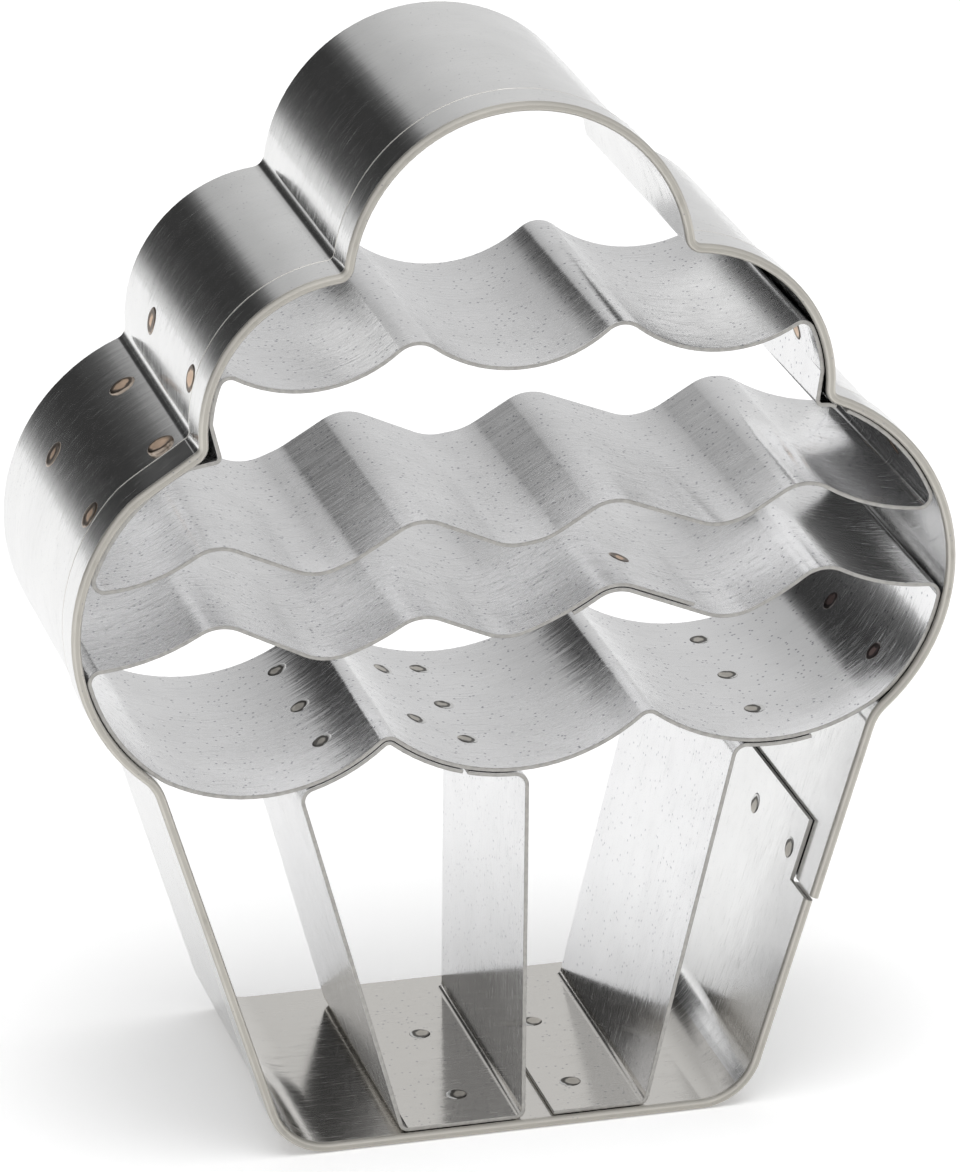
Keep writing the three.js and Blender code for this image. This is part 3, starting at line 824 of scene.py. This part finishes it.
left_scallop = scallop_between(scallop_left_end, cusp_left, LEFT_SCALLOP_RADIUS)
right_scallop = scallop_between(cusp_right, scallop_right_end, middle_scallop.radius)
rise_to_lap, lap_flank, last_rise, last_fall = bottom_wave.runs[4:]
lap_crest, lap_valley, last_crest = bottom_wave.corners[4:]
lap_crest_bend, lap_valley_bend, last_crest_bend = bottom_wave.bends[4:]


def sunk(run):
    return beside(backwards(run), LAP)


def point_at(flat, x):
    return flat.start + flat.heading * ((x - flat.start.x) / flat.heading.x)


lower_stretches = plan(
    last_crest,
    [
        *leftwards(bottom_wave, bottom_wave.left)[1:],
        (hug_left_lower, scallop_left_end, SCALLOP_LEFT_BEND),
        (left_scallop, cusp_left, SCALLOP_CREST_BEND),
        (middle_scallop, cusp_right, SCALLOP_CREST_BEND),
        (right_scallop, scallop_right_end, SCALLOP_RIGHT_BEND),
        (hug_right_lower, bottom_wave.right, END_BEND),
        (sunk(last_fall), last_crest, last_crest_bend - LAP),
        (sunk(last_rise), lap_valley, lap_valley_bend + LAP),
        (sunk(lap_flank), lap_crest, lap_crest_bend - LAP),
        (sunk(rise_to_lap),),
    ],
    nearest_on(sunk(rise_to_lap), below(rise_to_lap, lap_crest.x - LAP_PAST_CREST)),
)
over_flank, _, over_flank_end = lower_stretches[2]
lap_start = point_at(over_flank, lap_crest.x + LAP_REACH)
lower_stretches = [(over_flank, lap_start, over_flank_end), *lower_stretches[3:]]
lower_ring = strip_along("lower_icing_strip", lower_stretches)

# %% [markdown]
# ## The pleats of the paper case
#
# Two more strips stand on the floor of the cup. The first is a frame: left pleat, floor and middle pleat, with
# tabs that lie under the scallops. The second is the right pleat with a tab at its head and at its foot.

# %% The pleat frame and the right pleat
FLOOR = LIFT + SHEET + LAP_GAP + SHEET / 2
LEFT_FOOT, LEFT_HEAD = -7.25, -13.4
MIDDLE_FOOT, MIDDLE_HEAD = 0.3, 0.5
RIGHT_FOOT, RIGHT_HEAD = 8, 13.5
FOOT_BEND = 0.5
HEAD_BEND = 0.8
FRAME_BUTT = -3.3
FLOOR_TAB = 5.8
HEAD_TAB = 4.7

under_left = beside(left_scallop, -LAP)
under_middle = beside(middle_scallop, -LAP)
under_right = beside(right_scallop, -LAP)
floor_run = flat_to(spot(-BASE_HALF, FLOOR), spot(BASE_HALF, FLOOR))


def pleat(foot, head, ceiling):
    return flat_to(spot(foot, FLOOR), below(ceiling, head))


pleat_frame = strip_along("pleat_frame_strip", plan(
    below(under_middle, FRAME_BUTT - BUTT_GAP / 2),
    [
        (backwards(under_middle), cusp_left, SCALLOP_CREST_BEND - LAP),
        (backwards(under_left), below(under_left, LEFT_HEAD), HEAD_BEND),
        (backwards(pleat(LEFT_FOOT, LEFT_HEAD, under_left)), spot(LEFT_FOOT, FLOOR), FOOT_BEND),
        (floor_run, spot(MIDDLE_FOOT, FLOOR), FOOT_BEND),
        (pleat(MIDDLE_FOOT, MIDDLE_HEAD, under_middle), below(under_middle, MIDDLE_HEAD), HEAD_BEND),
        (backwards(under_middle),),
    ],
    below(under_middle, FRAME_BUTT + BUTT_GAP / 2),
))

right_pleat = strip_along("right_pleat_with_tabs", plan(
    spot(RIGHT_FOOT - FLOOR_TAB, FLOOR),
    [
        (floor_run, spot(RIGHT_FOOT, FLOOR), FOOT_BEND),
        (pleat(RIGHT_FOOT, RIGHT_HEAD, under_right), below(under_right, RIGHT_HEAD), HEAD_BEND),
        (under_right,),
    ],
    below(under_right, RIGHT_HEAD + HEAD_TAB),
))

# %% [markdown]
# ## Spot welds
#
# A spot weld is pressed between two copper tips, so it leaves a shallow ringed dimple on both faces. One nugget
# is modelled from a cylinder whose two ends get rings by inset. Each copy is then curved to the sheet that it
# sits in. The point attribute `mark` keeps the distance from the middle of the nugget, for its heat colours and
# its painted dimple shade. `side` tells its two sides apart, for a painted shade crescent on some marks.

# %% Model one nugget
WELD_RADIUS = 0.68
WELD_SUNK = 0.02
WELD_SIDES = 32
WELD_LENGTH = 2 * SHEET + LAP_GAP - 2 * WELD_SUNK
WELD_SMOOTH_ANGLE = math.radians(60)
DIMPLE_RINGS = [(0.05, 0.04), (0.06, 0.02), (0.12, -0.022), (0.14, -0.004), (0.14, 0.012)]

bpy.ops.mesh.primitive_cylinder_add(vertices=WELD_SIDES, radius=WELD_RADIUS * MM, depth=WELD_LENGTH * MM)
nugget = bpy.context.object
nugget.name = "weld_nugget_pattern"
bpy.ops.object.mode_set(mode="EDIT")
for end in (1, -1):
    bpy.ops.mesh.select_all(action="DESELECT")
    bpy.ops.object.mode_set(mode="OBJECT")
    for face in nugget.data.polygons:
        face.select = face.normal.z * end > 0.9
    bpy.ops.object.mode_set(mode="EDIT")
    for width, rise in DIMPLE_RINGS:
        bpy.ops.mesh.inset(thickness=width * MM, depth=rise * MM)
bpy.ops.object.mode_set(mode="OBJECT")
bpy.ops.object.shade_smooth_by_angle(angle=WELD_SMOOTH_ANGLE)
mark = nugget.data.attributes.new("mark", "FLOAT", "POINT")
# `side` places the painted dimple shade on one side of a mark
shaded_side_of_mark = nugget.data.attributes.new("side", "FLOAT", "POINT")
for vertex, distance, side in zip(nugget.data.vertices, mark.data, shaded_side_of_mark.data):
    distance.value = math.hypot(vertex.co.x, vertex.co.y) / (WELD_RADIUS * MM)
    side.value = vertex.co.x / (WELD_RADIUS * MM)
nugget.select_set(False)
print("nugget faces:", len(nugget.data.polygons))

# %% Places of the welds
Row = namedtuple("Row", "name foot through bend_radius depths")
HALF_LAP = LAP / 2


def row_on_arc(name, arc, point, depths):
    """A row whose welds join the sheet of this arc to the sheet outside it."""
    spoke = (point - arc.centre).normalized()
    radius = arc.radius + HALF_LAP
    return Row(name, arc.centre + spoke * radius, spoke, radius, depths)


def row_under(name, scallop, x, depths):
    return row_on_arc(name, scallop, below(scallop, x), depths)


def from_front(distance):
    return STRIP_FRONT + distance


def from_back(distance):
    return STRIP_BACK - distance


LOBE_DEPTHS = [from_front(4.4), from_back(4.4)]
TAB_DEPTHS = [from_front(4.6), from_front(10.2), from_back(3.1)]
CREST_DEPTHS = [from_front(6.7), from_back(4.4)]
FLOOR_DEPTHS = [from_front(3.8), from_front(12.8)]
SEAM_DEPTHS = [from_front(4.4), from_front(11.5)]
FLANK_DEPTHS = [from_front(4.4), from_front(13)]

LOBE_RISE = 3
HIGH_DROP = {"left": 1.15, "right": 2.6}
LOW_DROP = 5
FLANK_RISE = 2
LAP_WELD_BACK, LAP_WELD_DEPTH = 3.3, 5
TAB_WELD = 2.5
CREST_WELD = 1.35
FRAME_WELD = 3.2
FLOOR_TAB_WELD = 2.1
SEAM_WELD_RISE = 1.4

weld_rows = []
for side, sign, middle_hug, lower_hug in (
    ("left", -1, hug_left_middle, hug_left_lower),
    ("right", 1, hug_right_middle, hug_right_lower),
):
    for lobe, arc, height in (
        ("middle_lobe", middle_hug, LOWER_NOTCH_HEIGHT + LOBE_RISE),
        ("lower_lobe_high", lower_hug, LOWER_NOTCH_HEIGHT - HIGH_DROP[side]),
        ("lower_lobe_low", lower_hug, LOWER_NOTCH_HEIGHT - LOW_DROP),
    ):
        weld_rows.append(row_on_arc(f"weld_{side}_{lobe}", arc, at_height(arc, height, sign), LOBE_DEPTHS))

flank_point = at_height(hug_right_lower, CUP_HEIGHT + FLANK_RISE, 1)
lap_down = -left_of(lap_flank.heading)
lap_foot = point_at(lap_flank, lap_start.x - LAP_WELD_BACK) + lap_down * HALF_LAP
floor_foot = LIFT + SHEET + LAP_GAP / 2
frame_foot = spot(MIDDLE_FOOT - FRAME_WELD, floor_foot)
tab_foot = spot(RIGHT_FOOT - FLOOR_TAB + FLOOR_TAB_WELD, floor_foot)
straight_up = spot(0, 1)
seam_foot = up_flat(beside(right_wall, -SHEET - LAP_GAP / 2), SEAM_HEIGHT + SEAM_WELD_RISE)
weld_rows += [
    row_on_arc("weld_right_flank", hug_right_lower, flank_point, FLANK_DEPTHS),
    Row("weld_ring_lap", lap_foot, lap_down, None, [from_front(LAP_WELD_DEPTH)]),
    row_under("weld_left_scallop", left_scallop, LEFT_HEAD + TAB_WELD, TAB_DEPTHS),
    row_under("weld_scallop_crest", middle_scallop, FRAME_BUTT - CREST_WELD, CREST_DEPTHS),
    row_under("weld_middle_scallop", middle_scallop, MIDDLE_HEAD - TAB_WELD, TAB_DEPTHS),
    row_under("weld_right_scallop", right_scallop, RIGHT_HEAD + TAB_WELD, TAB_DEPTHS),
    Row("weld_frame_floor", frame_foot, straight_up, None, FLOOR_DEPTHS),
    Row("weld_right_pleat_floor", tab_foot, straight_up, None, FLOOR_DEPTHS),
    Row("weld_band_seam", seam_foot, left_of(right_wall.heading), None, SEAM_DEPTHS),
]
print("weld rows:", len(weld_rows))

# %% Copy the nugget to each weld and curve it to its sheet
LOBE_SPREAD = 1.25
weld_pieces = {}


def place_nugget(mesh, row, depth):
    sheet_angle = math.atan2(row.through.y, row.through.x)
    along = spot(row.through.y, -row.through.x)
    spread = LOBE_SPREAD if "lobe" in row.name else 1
    for vertex in mesh.vertices:
        u, v, height = vertex.co / MM
        u, v = u * spread, v * spread
        if row.bend_radius:
            angle = sheet_angle - u / row.bend_radius
            reach = row.bend_radius + height
            centre = row.foot - row.through * row.bend_radius
            point = centre + spot(math.cos(angle), math.sin(angle)) * reach
        else:
            point = row.foot + along * u + row.through * height
        vertex.co = Vector((point.x, depth + v, point.y)) * MM


for row in weld_rows:
    for number, depth in enumerate(row.depths, start=1):
        node = f"{row.name}_{number}" if len(row.depths) > 1 else row.name
        piece = bpy.data.objects.new(f"{node}_nugget", nugget.data.copy())
        bpy.context.collection.objects.link(piece)
        place_nugget(piece.data, row, depth)
        weld_pieces[node] = piece
bpy.data.objects.remove(nugget)
print("welds:", len(weld_pieces))

# %% Weld materials
RAGGED_SCALE, RAGGED = 1800.0, 0.7
UNEVEN_SCALE, UNEVEN = 620.0, 0.75
# Darkness of the ring: burn tint, and on grey marks painted dimple shade
BURN_AND_SHADE_SHARE = 0.18


def weld_mark(name, centre, halo, shaded_side_shift):
    """A dark ring round a tinted middle: burn tint, and on grey marks painted shade of the dimple. In a
    one-sided mark the middle reaches farther to one side, as painted shade.
    """
    material, tree, shader = new_material(name)
    distance = add_node(tree, "ShaderNodeAttribute", attribute_name="mark").outputs["Fac"]
    side = add_node(tree, "ShaderNodeAttribute", attribute_name="side").outputs["Fac"]
    place = add_node(tree, "ShaderNodeTexCoord").outputs["Object"]
    ragged = sway(tree, distance, noise(tree, place, RAGGED_SCALE, 2.0), RAGGED)
    uneven_and_shaded = sway(tree, ragged, noise(tree, place, UNEVEN_SCALE, 0.0), UNEVEN)
    # The side shift paints the dimple's shade on one side and a pale crescent on the other
    uneven_and_shaded = sums(tree, "MULTIPLY_ADD", side, -shaded_side_shift, uneven_and_shaded)
    burn_and_shade_ring = tuple(part * BURN_AND_SHADE_SHARE for part in centre)
    shades = ramp(tree, uneven_and_shaded, [(0.0, centre), (0.42, centre), (0.6, burn_and_shade_ring), (0.88, burn_and_shade_ring), (1.0, halo)])
    tree.links.new(shades, shader.inputs["Base Color"])
    tree.links.new(ramp(tree, ragged, [(0.3, 0.45), (0.9, 0.3)]), shader.inputs["Roughness"])
    shader.inputs["Metallic"].default_value = 1
    return material


copper_mark = weld_mark("heat_tinted_weld", (0.8, 0.6, 0.45), (0.45, 0.38, 0.32), 0.0)
# Grey marks: their dark ring and one-sided crescent are painted shade of the dimple
grey_mark_painted_shade = weld_mark("grey_weld_painted_shade", (0.6, 0.57, 0.52), (0.8, 0.8, 0.79), 0.4)
burnt_mark = weld_mark("burnt_weld", (0.24, 0.17, 0.16), (0.3, 0.27, 0.26), 0.0)
for node, piece in weld_pieces.items():
    piece.data.materials.clear()
    if "flank" in node:
        piece.data.materials.append(burnt_mark)
    elif "lobe" in node or "lap" in node:
        piece.data.materials.append(copper_mark)
    else:
        piece.data.materials.append(grey_mark_painted_shade)
print("weld marks:", copper_mark.name, grey_mark_painted_shade.name, burnt_mark.name)

# %% [markdown]
# ## Floor, studio and camera
#
# The photo has a white floor. The floor glows a little for camera rays and glossy rays, so that it is white in
# the picture and in the metal, and it keeps the shadow. Bright metal shows what stands round it. Glossy rays
# see a room whose light depends on their direction round the Y axis: pale on the right and overhead, and dark
# on the left, which gives the dark bands on faces that look up and left. Rays that don't go deep see a pale
# ceiling. All other light comes from a soft box overhead and a faint even light.

# %% Floor
FLOOR_SIZE = 2
FLOOR_SHIFT = -0.6
FLOOR_WHITE = (0.92, 0.92, 0.92, 1)
SEEN_GLOW = 0.3
MIRRORED_GLOW = 0.19

bpy.ops.mesh.primitive_plane_add(size=FLOOR_SIZE, location=(0, FLOOR_SHIFT, 0))
bpy.ops.object.transform_apply(location=True)
floor = bpy.context.object
floor.name = "studio_floor"
floor_paint, floor_tree, floor_shader = new_material("white_floor")
floor_path = add_node(floor_tree, "ShaderNodeLightPath").outputs
glow = sums(floor_tree, "MULTIPLY", floor_path["Is Camera Ray"], SEEN_GLOW)
glow = sums(floor_tree, "MULTIPLY_ADD", floor_path["Is Glossy Ray"], MIRRORED_GLOW, glow)
floor_shader.inputs["Base Color"].default_value = FLOOR_WHITE
floor_shader.inputs["Roughness"].default_value = 0.9
floor_shader.inputs["Specular IOR Level"].default_value = 0.1
floor_shader.inputs["Emission Color"].default_value = (1, 1, 1, 1)
floor_tree.links.new(glow, floor_shader.inputs["Emission Strength"])
floor.data.materials.append(floor_paint)
floor.select_set(False)
print("floor:", FLOOR_SIZE, "m square")

# %% Studio world
# Degrees round the Y axis, from the right over the top, with the light there
ROOM = [
    (-180, 0.15),
    (-176, 0.28),
    (-172, 0.5),
    (-168, 0.71),
    (-163, 0.81),
    (-40, 0.82),
    (0, 0.75),
    (20, 0.7),
    (45, 0.685),
    (66, 0.64),
    (82, 0.59),
    (98, 0.51),
    (109, 0.47),
    (115, 0.36),
    (120, 0.16),
    (126, 0.07),
    (133, 0.041),
    (152, 0.04),
    (164, 0.056),
    (172, 0.078),
    (177, 0.115),
    (180, 0.15),
]

CEILING = (0.73, 0.73, 0.73, 1)
DEEP_FROM, DEEP_TO = 0.25, 0.6
HORIZON_LIGHT = 0.1
SOFT_BOX = (0, -0.1, 0.995)
BOX_LIGHT = 5.8
BOX_FALL = 12.0

world = bpy.data.worlds.new("studio")
bpy.context.scene.world = world
world.use_nodes = True
tree = world.node_tree
backdrop = tree.nodes["Background"]
direction = add_node(tree, "ShaderNodeTexCoord").outputs["Generated"]
parts = add_node(tree, "ShaderNodeSeparateXYZ", {"Vector": direction}).outputs
turn = sums(tree, "ARCTAN2", parts["Z"], parts["X"])
share = add_node(tree, "ShaderNodeMapRange", {0: turn, 1: -math.pi, 2: math.pi}).outputs[0]
deep_room = ramp(tree, share, [((degrees + 180) / 360, level) for degrees, level in ROOM])
deep = add_node(tree, "ShaderNodeMapRange", {0: parts["Y"], 1: DEEP_FROM, 2: DEEP_TO}).outputs[0]
glossy_room = blend(tree, deep, CEILING, deep_room)
light_path = add_node(tree, "ShaderNodeLightPath").outputs
glossy = light_path["Is Glossy Ray"]
towards_box = add_node(tree, "ShaderNodeVectorMath", {0: direction, 1: SOFT_BOX}, operation="DOT_PRODUCT")
overhead = sums(tree, "POWER", sums(tree, "MAXIMUM", towards_box.outputs["Value"], 0.0), BOX_FALL)
soft_box = sums(tree, "MULTIPLY_ADD", overhead, BOX_LIGHT, HORIZON_LIGHT)
by_bounce = blend(tree, glossy, soft_box, glossy_room)
tree.links.new(blend(tree, light_path["Is Camera Ray"], by_bounce, (1, 1, 1, 1)), backdrop.inputs["Color"])
print("room: light at", len(ROOM), "directions")

# %% Camera at the photo's angle
PHOTO_HEIGHT = 1172
FOCAL_PIXELS = 7000
SENSOR = 36
AZIMUTH, ELEVATION = math.radians(-14.87), math.radians(21.4)
TARGET = Vector((0.39, 0, 31.28)) * MM
DISTANCE = 423.07 * MM

bpy.ops.object.camera_add()
camera = bpy.context.object
camera.name = "photo_camera"
level = math.cos(ELEVATION)
back = Vector((math.sin(AZIMUTH) * level, -math.cos(AZIMUTH) * level, math.sin(ELEVATION)))
camera.location = TARGET + back * DISTANCE
camera.rotation_mode = "QUATERNION"
camera.rotation_quaternion = (-back).to_track_quat("-Z", "Y")
camera.data.sensor_width = SENSOR
camera.data.lens = FOCAL_PIXELS * SENSOR / PHOTO_HEIGHT
camera.data.clip_start = 0.01
bpy.context.scene.camera = camera
bpy.context.scene.view_settings.view_transform = "Standard"
print("lens:", round(camera.data.lens, 1))

# %% [markdown]
# ## Hand the pieces to the frame
#
# Each strip and each nugget stands for its CAD node and rides on the one rigid body.

# %% Ride, replace and finish
for piece, node in (
    (outer_band, "outer_band"),
    (upper_ring, "upper_icing_ring"),
    (lower_ring, "lower_icing_ring"),
    (pleat_frame, "pleat_frame"),
    (right_pleat, "right_pleat_strip"),
):
    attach(piece, "root")
    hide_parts(node)
for node, piece in weld_pieces.items():
    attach(piece, "root")
    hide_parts(node)
